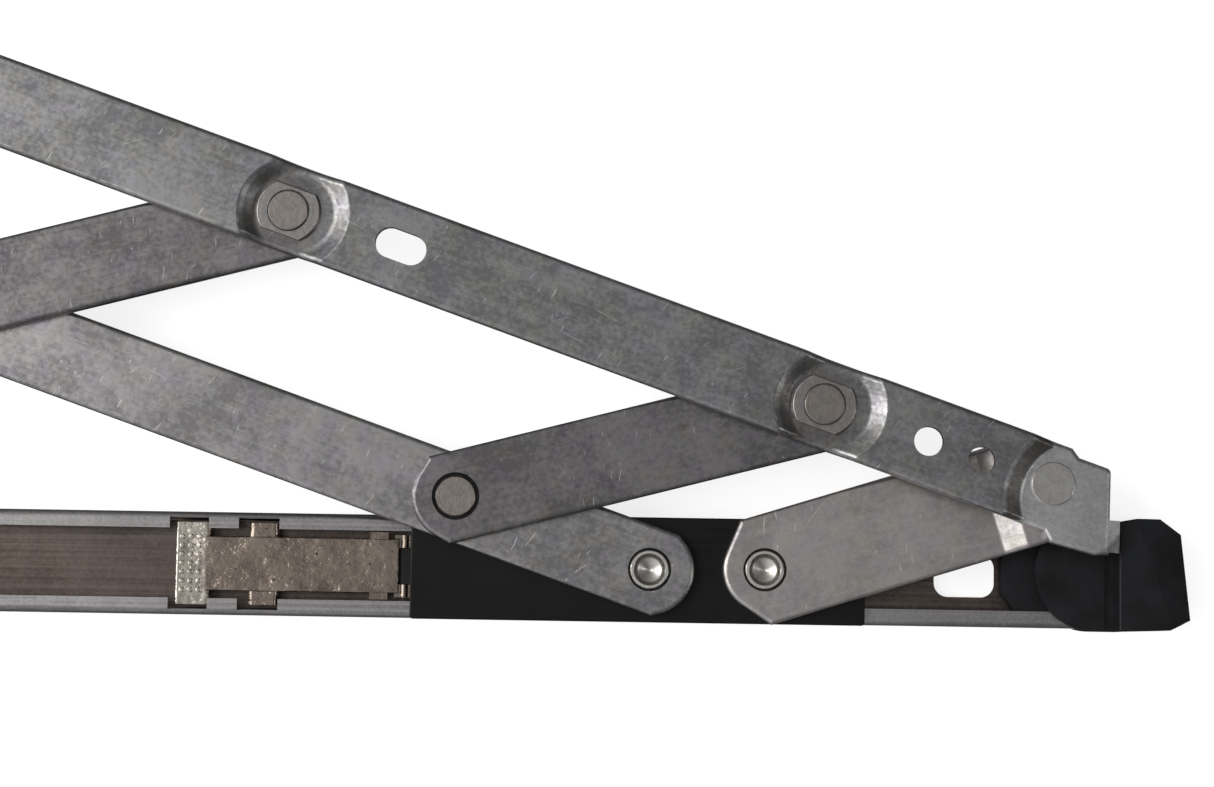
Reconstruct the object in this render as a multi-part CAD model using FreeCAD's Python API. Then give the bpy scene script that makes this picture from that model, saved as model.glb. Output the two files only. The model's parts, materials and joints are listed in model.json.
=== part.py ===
import FreeCAD, Part
import math
import os

# Friction stay hinge: a window stay with a C-section track, a releasable carriage and a six-bar linkage.
# Frame: X runs along the track towards the end cap, Y is the opening direction, Z is the stack height.
# The origin is on the back face of the track, under the long arm's pivot. Millimetres and degrees.

# ---- Pivots in the half-open rest position ----
REST_ANGLE = 19.06                     # vent arm and long arm to the track
LONG_PIVOT = (0.0, 0.0)                # long arm on the carriage
SHORT_PIVOT = (24.5, 0.32)             # short arm on the carriage
FRONT_LINK_PIVOT = (-41.41, 14.82)     # front link bar on the long arm
VENT_FRONT_PIVOT = (36.45, 35.29)      # front link bar on the vent arm
VENT_TIP_PIVOT = (84.89, 19.23)        # short arm on the vent arm
LINK_PITCH = 121.2                     # front link pivot to rear link pivot, on both long arms

# ---- Stack heights ----
TRACK_HEIGHT = 7.0
CARRIAGE_GAP = 0.15
CARRIAGE_PLATE_THICKNESS = 2.0
ARM_THICKNESS = 2.2
ARM_GAP = 0.3
JOGGLE_DEPTH = 2.0
CARRIAGE_BOTTOM = TRACK_HEIGHT + CARRIAGE_GAP
CARRIAGE_TOP = CARRIAGE_BOTTOM + CARRIAGE_PLATE_THICKNESS
LOWER_ARM_BOTTOM = CARRIAGE_TOP + ARM_GAP
LOWER_ARM_TOP = LOWER_ARM_BOTTOM + ARM_THICKNESS
LINK_BOTTOM = LOWER_ARM_TOP + ARM_GAP
LINK_TOP = LINK_BOTTOM + ARM_THICKNESS
VENT_FLOOR_BOTTOM = LINK_TOP + ARM_GAP
VENT_FLOOR_TOP = VENT_FLOOR_BOTTOM + ARM_THICKNESS
VENT_BOTTOM = VENT_FLOOR_BOTTOM + JOGGLE_DEPTH
VENT_TOP = VENT_BOTTOM + ARM_THICKNESS

# ---- Track ----
TRACK_LEFT = -192.0
TRACK_RIGHT = 99.5
TRACK_WIDTH = 22.0
TRACK_BASE = 1.2
TRACK_WALL = 1.2
TRACK_LIP = 1.1
TRACK_LIP_OPENING = 15.0
TRACK_BEND = 1.5
TRACK_INNER_BEND = 0.5
NOTCHES = ((-102.9, -94.5), (-88.1, -79.4))
NOTCH_WALL_LEFT = 1.1
SCREW_HOLES = (-178.0, -150.0)
SCREW_HOLE_RADIUS = 2.2
SCREW_HEAD_RADIUS = 2.9
SCREW_LAND = 0.5                       # straight part of a screw hole, behind its countersink
TRACK_SLOT_X = 68.1
TRACK_SLOT_LENGTH = 13.1
TRACK_SLOT_WIDTH = 9.2
TRACK_SLOT_CORNER = 3.0

# ---- Carriage ----
CARRIAGE_LEFT = -51.0
CARRIAGE_RIGHT = 46.0
CARRIAGE_WIDTH = 22.4
SHOE_INSET = 1.2
SHOE_WIDTH = 19.3
SHOE_CORNER = 1.0
SHOE_NECK_WIDTH = 14.7
SHOE_BOTTOM = TRACK_BASE + 0.1
SHOE_TOP = TRACK_HEIGHT - TRACK_LIP - 0.15
FOOT_CHAMFER = 0.6                     # clears the track's inner bends
SHOE_NOSE_LEFT = -53.2
SHOE_NOSE_WIDTH = 7.6
SHOE_NOSE_HEIGHTS = (3.6, 6.0)
PRONG_POCKET_LENGTH = 5.0
PRONG_POCKET_SIDES = (3.85, 6.9)
PRONG_POCKET_HEIGHTS = (3.2, 6.6)

# ---- Release clip, which tips about two studs on the shoe's nose ----
CLIP_AXIS = (-52.45, 5.0)              # x and z of the studs
STUD_RADIUS = 0.45
STUD_SPAN = 12.8
KNUCKLE_RADIUS = 1.0
KNUCKLE_BORE = 0.5
CLIP_THICKNESS = 0.8
CLIP_OVERLAP = 0.2                     # how far joined strips of the clip run into each other
CLIP_LEFT = -101.6
CLIP_BAR_RIGHT = -95.3
CLIP_PLATE_RIGHT = -53.6
CLIP_PRONG_RIGHT = -46.5
CLIP_BAR_WIDTH = 18.0
CLIP_BAR_ROUND = 0.37
CLIP_TAB_ROUND = 1.1
CLIP_BAR_TOP = 5.45
CLIP_PLATE_WIDTH = 11.7
CLIP_PLATE_TOP = 6.25
CLIP_FLANGE_BOTTOM = 4.3
CLIP_TAB_CENTRE = -82.8
CLIP_TAB_LENGTH = 6.6
CLIP_TAB_SPAN = 17.5
CLIP_EAR = (-59.9, -56.0)
CLIP_EAR_SPAN = 14.4
CLIP_EAR_TOP = 6.15
CLIP_PRONG_WIDTH = 2.7
CLIP_PRONG_CENTRE = 5.3
CLIP_PRONG_HEIGHTS = (4.9, 5.6)
GRIP_CENTRE = (CLIP_LEFT + CLIP_BAR_RIGHT) / 2
GRIP_COLUMNS = 3
GRIP_ROWS = 7
GRIP_PITCH = (1.8, 1.9)                 # along and across the track
GRIP_RADIUS = 0.6
GRIP_HEIGHT = 0.35
GRIP_ROUND = 0.3

# ---- Arms ----
LONG_ARM_WIDTH = 18.2
LONG_ARM_NOSE = (9.6, 3.6)             # nose radius, and how far the cut corners lie beyond the pivot
LINK_WIDTH = 19.2
LINK_NOSE = (9.4, 3.6)
LINK_HIDDEN_NOSE = (9.0, 1.5)          # the end under the vent arm
SHORT_ARM_WIDTH = 23.2
SHORT_ARM_NOSE = (8.95, 2.0)
SHORT_HIDDEN_NOSE = (7.8, -4.0)
EDGE_ROUND = 0.7
RIM_ROUND = 1.0                         # rolled upper rim of the arms
EDGE_BREAK = 0.25
SHORT_RAMP_START = 13.2                # before the tip pivot, along the short arm
SHORT_RAMP_END = 8.5
BEND_RADIUS = 1.4

# ---- Vent arm, drawn from its front pivot along its own centreline ----
VENT_SKEW = 0.28                       # the pivots lie on a line slightly askew to the arm's edges
VENT_SHIFT = 0.15
VENT_WIDTH = 18.7
VENT_TAIL = 87.0                       # beyond the rear pivot
VENT_TAIL_CORNER = 3.6
DISH_INNER = 8.9
DISH_OUTER = 11.9
DISH_SHIFT = 1.25                       # dish centre past the pivot, towards the tip
DISH_FLOOR_BEND = 2.0
DISH_RIM_BEND = 1.0
TIP_DISH_CENTRE = (57.6, -0.6)
TIP_DISH_INNER = 12.3
TIP_DISH_OUTER = 16.6
TIP_SHIFT_START = 52.5                 # where the outline steps over to the tip's narrower plan
TIP_SHIFT_END = 54.5
TIP_UPPER = 8.1
TIP_LOWER = -11.0
TIP_LOWER_CORNER = (64.5, -10.2)
TIP_END_LOWER = (67.2, -9.2)
TIP_END_UPPER = (61.6, 8.1)
TIP_CORNER = 1.2
TIP_LIP_THICKNESS = 0.9
TIP_LIP_REACH = 1.7
TIP_LIP_DROP = 1.2
TIP_LIP_LENGTH = 6.8
TIP_LIP_INSET = 0.6
VENT_SLOT = (-95.9, 0.4)
VENT_SLOT_LENGTH = 11.2
VENT_SLOT_WIDTH = 6.6
VENT_HOLES = ((23.2, 6.2), (35.0, 5.8))           # place along the arm, diameter
TAIL_HOLES = ((-193.6, 5.8), (-202.4, 6.2))

# ---- Rivets, washers and collars ----
RUNNING_GAP = 0.05
PIVOT_SHANK = 3.3
PIVOT_HEAD = 4.1
PIVOT_HEAD_DEPTH = 1.2
PIVOT_HEAD_RISE = 0.1
PIVOT_HEAD_ROUND = 0.2
PIVOT_HOLLOW = 3.25
PIVOT_HOLLOW_FOOT = 2.6
PIVOT_HOLLOW_DEPTH = 1.5
PIVOT_CONE_DEPTH = 1.5
PIVOT_TAIL = 4.5
PIVOT_TAIL_BOTTOM = 2.0
PIVOT_TAIL_TOP = 3.4
PIVOT_RECESS = 4.55
LINK_SHANK = 2.8
LINK_HEAD = 4.25
LINK_HEAD_DEPTH = 1.0
LINK_RECESS = 5.0
HEAD_EDGE = 0.2                        # chamfer round a flat rivet head
TAIL_CONE = 4.2
TAIL_CONE_DEPTH = 1.0
TIP_HEAD = 4.6
TIP_HEAD_HEIGHT = 0.8
TIP_SHANK = 2.5
TIP_CLEARANCE = 1.0                    # room for the tip rivet to wander in the vent arm
COLLAR_RADIUS = 7.0
COLLAR_TAPER = 0.3
COLLAR_FLATS = 10.5
COLLAR_GROOVE = 0.25                   # gap between the collar and the rivet's head
COLLAR_THICKNESS = 0.9
COLLAR_ROUND = 0.3
VENT_HEAD_RISE = 0.35
WASHER_RADIUS = 7.6
WASHER_THICKNESS = 0.24
PLAY = 0.02                            # hairline between stacked pieces that turn on each other

# ---- End cap ----
TONGUE_LEFT = 75.45
TONGUE_WIDTH = 14.8
TONGUE_NOSE_WIDTH = 7.0
TONGUE_NOSE_DEPTH = 2.85
TONGUE_TOP = 5.6
SLEEVE_CENTRE = (94.9, 1.0)
SLEEVE_RADIUS = 12.6
SLEEVE_TOP = 8.6
SLEEVE_SIDE = 11.6
CAP_WALL_GAP = 0.05
BLOCK_OUTLINE = (
    (99.6, -11.6), (110.5, -11.2), (114.9, -9.0), (113.2, 9.2), (108.6, 12.4), (103.4, 12.4), (99.6, 11.7),
)
BLOCK_TOP = 12.7
BLOCK_RAMP_X = 107.4                   # where the sloped end of the block starts, on the centreline
BLOCK_RAMP_SLOPE = 18.0
BLOCK_RAMP_SKEW = 18.4
CAP_EDGE_ROUND = 0.5
CAP_GROOVE_X = (97.2, 98.2)
CAP_GROOVE_DEPTH = 0.5
CAP_SCREW_X = 88.0
CAP_SCREW_TOP = 4.8
CAP_SCREW_TIP = 0.6
CROSS_LENGTH = 2.6
CROSS_WIDTH = 0.6
CROSS_DEPTH = 0.8
FIXING_SHANK = 1.5
FIXING_SINK = 2.6                      # countersunk head, flush in the back of the track
FIXING_FLUSH = 0.1

# ---- End stop ----
STOP_LENGTH = 7.0
STOP_GAP = 0.15
STOP_RIVET_X = TRACK_LEFT + 3.5
STOP_RIVET_SEAT = 4.5
STOP_RIVET_HEAD = 2.6
STOP_RIVET_CROWN = 0.4

# ---- Picking edges and faces of a solid ----
TOLERANCE = 1e-4
FACES_UP = 0.7                         # least z of an upward face's normal
IS_WALL = 0.01                         # most z of a side wall's normal


def point(x, y, z=0.0):
    return FreeCAD.Vector(x, y, z)


def turn_and_move(shape, pivot, angle):
    """Carries a piece drawn along +X from its own pivot to its place in the stay."""
    shape.rotate(point(0, 0), point(0, 0, 1), angle)
    shape.translate(point(*pivot))
    return shape


def box(x0, x1, y0, y1, z0, z1):
    return Part.makeBox(x1 - x0, y1 - y0, z1 - z0, point(x0, y0, z0))


def wide_box(x0, x1, width, z0, z1):
    """A box centred on the X axis."""
    return box(x0, x1, -width / 2, width / 2, z0, z1)


def disc(radius, z0, z1, centre=(0.0, 0.0)):
    return Part.makeCylinder(radius, z1 - z0, point(*centre, z0))


def cone(radius_low, radius_high, z0, z1, centre=(0.0, 0.0)):
    return Part.makeCone(radius_low, radius_high, z1 - z0, point(*centre, z0))


def prism(points, z0, z1):
    """A closed polygon in plan, raised from z0 to z1."""
    corners = [point(x, y, z0) for x, y in points]
    wire = Part.makePolygon(corners + corners[:1])
    return Part.Face(wire).extrude(point(0, 0, z1 - z0))


def section_along_y(points, width):
    """A closed (x, z) polygon, extruded to the given width about the X axis."""
    corners = [point(x, -width / 2, z) for x, z in points]
    wire = Part.makePolygon(corners + corners[:1])
    return Part.Face(wire).extrude(point(0, width, 0))


def section_along_x(points, x0, x1):
    """A closed (y, z) polygon, extruded from x0 to x1."""
    corners = [point(x0, y, z) for y, z in points]
    wire = Part.makePolygon(corners + corners[:1])
    return Part.Face(wire).extrude(point(x1 - x0, 0, 0))


def spun(points, centre=(0.0, 0.0)):
    """A closed (radius, z) polygon, turned about the vertical through centre."""
    corners = [point(r, 0, z) for r, z in points]
    wire = Part.makePolygon(corners + corners[:1])
    solid = Part.Face(wire).revolve(point(0, 0), point(0, 0, 1), 360)
    solid.translate(point(*centre))
    return solid


def slot(centre, length, width, z0, z1):
    x, y = centre
    reach = (length - width) / 2
    ends = [disc(width / 2, z0, z1, (x + side * reach, y)) for side in (-1, 1)]
    middle = box(x - reach, x + reach, y - width / 2, y + width / 2, z0, z1)
    return middle.fuse(ends).removeSplitter()


def same(a, b):
    return abs(a - b) < TOLERANCE


def edges_at_height(shape, z):
    """Edges that lie wholly in the plane at height z."""
    return [e for e in shape.Edges if same(e.BoundBox.ZMin, z) and same(e.BoundBox.ZMax, z)]


def upright_edges(shape):
    return [e for e in shape.Edges if same(e.BoundBox.XLength + e.BoundBox.YLength, 0)]


def cross_edges(shape):
    """Edges that run straight across, along Y."""
    return [e for e in shape.Edges if same(e.BoundBox.XLength + e.BoundBox.ZLength, 0)]


def direction(start, end):
    return math.degrees(math.atan2(end[1] - start[1], end[0] - start[0]))


def distance(start, end):
    return math.hypot(end[0] - start[0], end[1] - start[1])


def along(pivot, angle, length):
    turn = math.radians(angle)
    return (pivot[0] + length * math.cos(turn), pivot[1] + length * math.sin(turn))


REAR_LINK_PIVOT = along(FRONT_LINK_PIVOT, 180 - REST_ANGLE, LINK_PITCH)
VENT_REAR_PIVOT = along(VENT_FRONT_PIVOT, 180 - REST_ANGLE, LINK_PITCH)
LONG_ARM_ANGLE = direction(LONG_PIVOT, REAR_LINK_PIVOT)
LONG_ARM_LENGTH = distance(LONG_PIVOT, REAR_LINK_PIVOT)
LINK_ANGLE = direction(FRONT_LINK_PIVOT, VENT_FRONT_PIVOT)
LINK_LENGTH = distance(FRONT_LINK_PIVOT, VENT_FRONT_PIVOT)
SHORT_ARM_ANGLE = direction(SHORT_PIVOT, VENT_TIP_PIVOT)
SHORT_ARM_LENGTH = distance(SHORT_PIVOT, VENT_TIP_PIVOT)
VENT_ANGLE = -REST_ANGLE - VENT_SKEW


def on_vent_arm(pivot):
    """A pivot's place on the vent arm's own drawing."""
    reach = distance(VENT_FRONT_PIVOT, pivot)
    return along((0.0, 0.0), direction(VENT_FRONT_PIVOT, pivot) - VENT_ANGLE, reach)


def nose_points(width, nose):
    """Upper half of an arm's end, from its cut corner round to the tip of its nose."""
    radius, corner = nose
    half = width / 2
    touch = math.atan2(half, corner) - math.acos(min(1.0, radius / math.hypot(corner, half)))
    return (corner, half), (radius * math.cos(touch), radius * math.sin(touch)), (radius, 0)


def nose_edges(corner, tangent, tip, at, facing):
    """One rounded end of an arm, about the pivot at the given place along it."""
    def place(x, y):
        return point(at + facing * x, facing * y)
    upper, lower = place(*tangent), place(tangent[0], -tangent[1])
    return [
        Part.LineSegment(place(*corner), upper).toShape(),
        Part.Arc(upper, place(*tip), lower).toShape(),
        Part.LineSegment(lower, place(corner[0], -corner[1])).toShape(),
    ]


def arm_prism(length, width, near_nose, far_nose, z0, z1):
    """Plan of an arm between two pivots: straight sides, cut corners and a round nose at each end."""
    near = nose_points(width, near_nose)
    far = nose_points(width, far_nose)
    edges = nose_edges(*far, length, 1) + nose_edges(*near, 0, -1)
    for side in (-1, 1):
        start = point(-near[0][0], side * width / 2)
        end = point(length + far[0][0], side * width / 2)
        edges.append(Part.LineSegment(start, end).toShape())
    outline = Part.Face(Part.Wire(Part.__sortEdges__(edges)))
    outline.translate(point(0, 0, z0))
    return outline.extrude(point(0, 0, z1 - z0))


def flat_arm(length, width, near_nose, far_nose, bottom):
    """A blanked arm with its upper edges rolled over and its lower edges just broken."""
    top = bottom + ARM_THICKNESS
    arm = arm_prism(length, width, near_nose, far_nose, bottom, top)
    arm = arm.makeFillet(RIM_ROUND, edges_at_height(arm, top))
    return arm.makeFillet(EDGE_BREAK, edges_at_height(arm, bottom))


def recessed_bore(pivot, shank, recess, recess_depth, bottom):
    """A pivot bore with a round recess for a flush rivet head."""
    top = bottom + ARM_THICKNESS
    bore = disc(shank + RUNNING_GAP, bottom - 1, top + 1, pivot)
    return bore.fuse(disc(recess, top - recess_depth, top + 1, pivot))


def tail_bore(pivot, shank, bottom, gap=0.0):
    """A bore with a countersink below for a rivet's flush tail."""
    bore = disc(shank + gap, bottom - 1, bottom + ARM_THICKNESS + 1, pivot)
    sink = cone(TAIL_CONE + gap, shank + gap, bottom, bottom + TAIL_CONE_DEPTH, pivot)
    return bore.fuse(sink)


def lengthwise_edges(shape, offset):
    """Edges that run the whole length of the track at the given distance either side of its centreline."""
    length = TRACK_RIGHT - TRACK_LEFT
    whole = [e for e in shape.Edges if same(e.BoundBox.XLength, length)]
    return [e for e in whole if same(abs(e.BoundBox.YMax), offset)]


def track():
    half = TRACK_WIDTH / 2
    lip = TRACK_LIP_OPENING / 2
    under_lip = TRACK_HEIGHT - TRACK_LIP
    inner = half - TRACK_WALL
    right_half = [
        (half, 0), (half, TRACK_HEIGHT), (lip, TRACK_HEIGHT), (lip, under_lip), (inner, under_lip),
        (inner, TRACK_BASE),
    ]
    left_half = [(-y, z) for y, z in reversed(right_half)]
    body = section_along_x(right_half + left_half, TRACK_LEFT, TRACK_RIGHT)
    body = body.makeFillet(TRACK_BEND, lengthwise_edges(body, half))
    body = body.makeFillet(TRACK_INNER_BEND, lengthwise_edges(body, inner))
    return body.cut(track_openings())


def track_openings():
    cuts = []
    reach = TRACK_WIDTH - 2 * NOTCH_WALL_LEFT
    for x0, x1 in NOTCHES:
        cuts.append(wide_box(x0, x1, reach, TRACK_HEIGHT - TRACK_LIP - 1, TRACK_HEIGHT + 1))
    for x in SCREW_HOLES:
        cuts.append(disc(SCREW_HOLE_RADIUS, -1, TRACK_BASE, (x, 0)))
        cuts.append(cone(SCREW_HOLE_RADIUS, SCREW_HEAD_RADIUS, SCREW_LAND, TRACK_BASE, (x, 0)))
    reach = TRACK_SLOT_LENGTH / 2
    opening = wide_box(TRACK_SLOT_X - reach, TRACK_SLOT_X + reach, TRACK_SLOT_WIDTH, -1, TRACK_BASE + 1)
    cuts.append(opening.makeFillet(TRACK_SLOT_CORNER, upright_edges(opening)))
    for x in (CAP_SCREW_X, STOP_RIVET_X):
        cuts.append(disc(FIXING_SHANK, -1, TRACK_BASE + 1, (x, 0)))
        cuts.append(cone(FIXING_SINK, FIXING_SHANK, 0, TRACK_BASE, (x, 0)))
    return Part.makeCompound(cuts)


def carriage_plate():
    plate = wide_box(CARRIAGE_LEFT, CARRIAGE_RIGHT, CARRIAGE_WIDTH, CARRIAGE_BOTTOM, CARRIAGE_TOP)
    plate = plate.makeFillet(EDGE_ROUND, upright_edges(plate))
    plate = plate.makeFillet(EDGE_ROUND / 2, edges_at_height(plate, CARRIAGE_TOP))
    holes = [disc(PIVOT_SHANK, 0, CARRIAGE_TOP + 1, pivot) for pivot in (LONG_PIVOT, SHORT_PIVOT)]
    return plate.cut(holes)


def carriage_shoe():
    """Slide block inside the channel: a neck between the lips, and a nose with two studs for the clip."""
    left = CARRIAGE_LEFT + SHOE_INSET
    right = CARRIAGE_RIGHT - SHOE_INSET
    slide = wide_box(left, right, SHOE_WIDTH, SHOE_BOTTOM, SHOE_TOP)
    slide = slide.makeFillet(SHOE_CORNER, upright_edges(slide))
    slide = slide.makeChamfer(FOOT_CHAMFER, edges_at_height(slide, SHOE_BOTTOM))
    neck = wide_box(left, right, SHOE_NECK_WIDTH, SHOE_TOP - 1, CARRIAGE_BOTTOM)
    nose = wide_box(SHOE_NOSE_LEFT, left + 1, SHOE_NOSE_WIDTH, *SHOE_NOSE_HEIGHTS)
    shoe = slide.fuse([neck, nose, across(STUD_RADIUS, -STUD_SPAN / 2, STUD_SPAN / 2)]).removeSplitter()
    return shoe.cut(shoe_openings(left))


def shoe_openings(left):
    """Pockets for the clip's two prongs, and bores for the carriage rivets."""
    low, high = PRONG_POCKET_SIDES
    cuts = []
    for y0, y1 in ((low, high), (-high, -low)):
        cuts.append(box(left - 1, left + PRONG_POCKET_LENGTH, y0, y1, *PRONG_POCKET_HEIGHTS))
    cuts = [cut.cut(across(STUD_RADIUS, -TRACK_WIDTH, TRACK_WIDTH)) for cut in cuts]
    for pivot in (LONG_PIVOT, SHORT_PIVOT):
        cuts.append(disc(PIVOT_SHANK, 0, CARRIAGE_TOP, pivot))
        cuts.append(disc(PIVOT_TAIL, 0, PIVOT_TAIL_TOP, pivot))
    return cuts


def across(radius, y0, y1):
    """A round bar along Y on the clip's own axis."""
    x, z = CLIP_AXIS
    return Part.makeCylinder(radius, y1 - y0, point(x, y0, z), point(0, 1, 0))


def carriage_rivet(pivot):
    """Eyelet rivet: its ring head sits in the arm's recess and its funnel-shaped hollow ends in a cone."""
    top = LOWER_ARM_TOP + PIVOT_HEAD_RISE
    head = top - PIVOT_HEAD_DEPTH
    edge = PIVOT_HEAD_ROUND
    hollow = top - PIVOT_HOLLOW_DEPTH
    profile = [
        (0, PIVOT_TAIL_BOTTOM), (PIVOT_TAIL, PIVOT_TAIL_BOTTOM), (PIVOT_TAIL, PIVOT_TAIL_TOP),
        (PIVOT_SHANK, PIVOT_TAIL_TOP), (PIVOT_SHANK, head), (PIVOT_HEAD, head), (PIVOT_HEAD, top - edge),
        (PIVOT_HEAD - edge, top), (PIVOT_HOLLOW + edge, top), (PIVOT_HOLLOW, top - edge),
        (PIVOT_HOLLOW_FOOT, hollow), (0, hollow - PIVOT_CONE_DEPTH),
    ]
    return spun(profile, pivot)


def flat_rivet(pivot, tail, shank, seat, head, top):
    """A rivet with a countersunk tail below and a flat, edge-broken head above its seat."""
    profile = [
        (0, tail), (TAIL_CONE, tail), (shank, tail + TAIL_CONE_DEPTH), (shank, seat), (head, seat),
        (head, top - HEAD_EDGE), (head - HEAD_EDGE, top), (0, top),
    ]
    return spun(profile, pivot)


def link_rivet(pivot):
    """Holds a link bar on the long arm, its head flush in the bar."""
    seat = LINK_TOP - LINK_HEAD_DEPTH + RUNNING_GAP
    return flat_rivet(pivot, LOWER_ARM_BOTTOM, LINK_SHANK, seat, LINK_HEAD, LINK_TOP + RUNNING_GAP)


def vent_rivet(pivot):
    """Turns with the vent arm: its head stands over the collar and its tail is flush under the link bar."""
    top = VENT_FLOOR_TOP + COLLAR_THICKNESS + VENT_HEAD_RISE
    return flat_rivet(pivot, LINK_BOTTOM + PLAY, LINK_SHANK, VENT_FLOOR_TOP, LINK_HEAD, top)


def tip_rivet():
    """Fixed in the short arm, with a head that runs over the vent arm's clearance hole."""
    seat = VENT_FLOOR_TOP + PLAY
    return flat_rivet(VENT_TIP_PIVOT, LINK_BOTTOM, TIP_SHANK, seat, TIP_HEAD, seat + TIP_HEAD_HEIGHT)


def friction_washer(pivot, shank, bottom):
    ring = disc(WASHER_RADIUS, bottom, bottom + WASHER_THICKNESS, pivot)
    return ring.cut(disc(shank + RUNNING_GAP, bottom - 1, bottom + 1, pivot))


def collar(pivot):
    """Double-D collar round a vent rivet's head, its flats parallel to the vent arm."""
    z0 = VENT_FLOOR_TOP
    z1 = z0 + COLLAR_THICKNESS
    blank = cone(COLLAR_RADIUS, COLLAR_RADIUS - COLLAR_TAPER, z0, z1)
    flats = wide_box(-COLLAR_RADIUS, COLLAR_RADIUS, COLLAR_FLATS, z0, z1)
    ring = blank.common(flats)
    ring = ring.makeFillet(COLLAR_ROUND, edges_at_height(ring, z1))
    ring = ring.cut(disc(LINK_HEAD + COLLAR_GROOVE, z0 - 1, z1 + 1))
    return turn_and_move(ring, pivot, VENT_ANGLE)


def long_arm():
    arm = flat_arm(LONG_ARM_LENGTH, LONG_ARM_WIDTH, LONG_ARM_NOSE, LONG_ARM_NOSE, LOWER_ARM_BOTTOM)
    arm = turn_and_move(arm, LONG_PIVOT, LONG_ARM_ANGLE)
    recess = PIVOT_HEAD_DEPTH + RUNNING_GAP
    cuts = [recessed_bore(LONG_PIVOT, PIVOT_SHANK, PIVOT_RECESS, recess, LOWER_ARM_BOTTOM)]
    for pivot in (FRONT_LINK_PIVOT, REAR_LINK_PIVOT):
        cuts.append(tail_bore(pivot, LINK_SHANK, LOWER_ARM_BOTTOM))
    return arm.cut(cuts)


def link_bar(long_arm_pivot, vent_pivot):
    arm = flat_arm(LINK_LENGTH, LINK_WIDTH, LINK_NOSE, LINK_HIDDEN_NOSE, LINK_BOTTOM)
    arm = turn_and_move(arm, long_arm_pivot, LINK_ANGLE)
    flush = recessed_bore(long_arm_pivot, LINK_SHANK, LINK_RECESS, LINK_HEAD_DEPTH, LINK_BOTTOM)
    return arm.cut([flush, tail_bore(vent_pivot, LINK_SHANK, LINK_BOTTOM, RUNNING_GAP)])


def short_arm():
    """Flat on the carriage, then stepped up one level to lie under the vent arm's tip."""
    start = SHORT_ARM_LENGTH - SHORT_RAMP_START
    end = SHORT_ARM_LENGTH - SHORT_RAMP_END
    left = -SHORT_ARM_WIDTH
    right = SHORT_ARM_LENGTH + SHORT_ARM_WIDTH
    section = [
        (left, LOWER_ARM_BOTTOM), (start, LOWER_ARM_BOTTOM), (end, LINK_BOTTOM), (right, LINK_BOTTOM),
        (right, LINK_TOP), (end, LINK_TOP), (start, LOWER_ARM_TOP), (left, LOWER_ARM_TOP),
    ]
    sheet = section_along_y(section, 2 * SHORT_ARM_WIDTH)
    bends = [e for e in cross_edges(sheet) if left + 1 < e.BoundBox.XMin < right - 1]
    sheet = sheet.makeFillet(BEND_RADIUS, bends)
    outline = arm_prism(SHORT_ARM_LENGTH, SHORT_ARM_WIDTH, SHORT_ARM_NOSE, SHORT_HIDDEN_NOSE, 0, VENT_TOP)
    arm = round_top_rim(sheet.common(outline))
    arm = turn_and_move(arm, SHORT_PIVOT, SHORT_ARM_ANGLE)
    recess = PIVOT_HEAD_DEPTH + RUNNING_GAP
    flush = recessed_bore(SHORT_PIVOT, PIVOT_SHANK, PIVOT_RECESS, recess, LOWER_ARM_BOTTOM)
    return arm.cut([flush, tail_bore(VENT_TIP_PIVOT, TIP_SHANK, LINK_BOTTOM)])


def round_top_rim(sheet):
    """Rolls over the upper rim of a pressed sheet: every edge where a side wall meets an upward face."""
    rim = []
    for edge in sheet.Edges:
        faces = sheet.ancestorsOfType(edge, Part.Face)
        middle = edge.valueAt((edge.FirstParameter + edge.LastParameter) / 2)
        tilts = [face.normalAt(*face.Surface.parameter(middle)).z for face in faces]
        if len(tilts) == 2 and max(tilts) > FACES_UP and min(abs(t) for t in tilts) < IS_WALL:
            rim.append(edge)
    return sheet.makeFillet(RIM_ROUND, rim)


def circles_near(shape, radius):
    return [e for e in shape.Edges if hasattr(e.Curve, "Radius") and same(e.Curve.Radius, radius)]


def dish(centre, inner, outer):
    """A round pressing: a floor one joggle down, and a sloped ring wall up to the sheet."""
    edge = outer + 2 * DISH_RIM_BEND
    profile = [
        (0, VENT_FLOOR_BOTTOM), (inner, VENT_FLOOR_BOTTOM), (outer, VENT_BOTTOM), (edge, VENT_BOTTOM),
        (edge, VENT_TOP), (outer, VENT_TOP), (inner, VENT_FLOOR_TOP), (0, VENT_FLOOR_TOP),
    ]
    pressing = spun(profile)
    pressing = pressing.makeFillet(DISH_FLOOR_BEND, circles_near(pressing, inner))
    pressing = pressing.makeFillet(DISH_RIM_BEND, circles_near(pressing, outer))
    pressing.translate(point(*centre))
    return pressing


def vent_outline():
    """Plan of the vent arm from its front pivot: a plain tail end, and a tip set over and cut askew."""
    upper = VENT_WIDTH / 2 + VENT_SHIFT
    lower = upper - VENT_WIDTH
    tail = -LINK_PITCH - VENT_TAIL
    corner = VENT_TAIL_CORNER
    points = [
        (tail + corner, upper), (tail, upper - corner), (tail, lower + corner), (tail + corner, lower),
        (TIP_SHIFT_START, lower), (TIP_SHIFT_END, TIP_LOWER), TIP_LOWER_CORNER, TIP_END_LOWER,
        TIP_END_UPPER, (TIP_SHIFT_END, TIP_UPPER), (TIP_SHIFT_START, upper),
    ]
    outline = prism(points, 0, VENT_TOP + 1)
    sharp = [e for e in upright_edges(outline) if same(e.BoundBox.XMin, TIP_END_UPPER[0])]
    return outline.makeFillet(TIP_CORNER, sharp)


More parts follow.
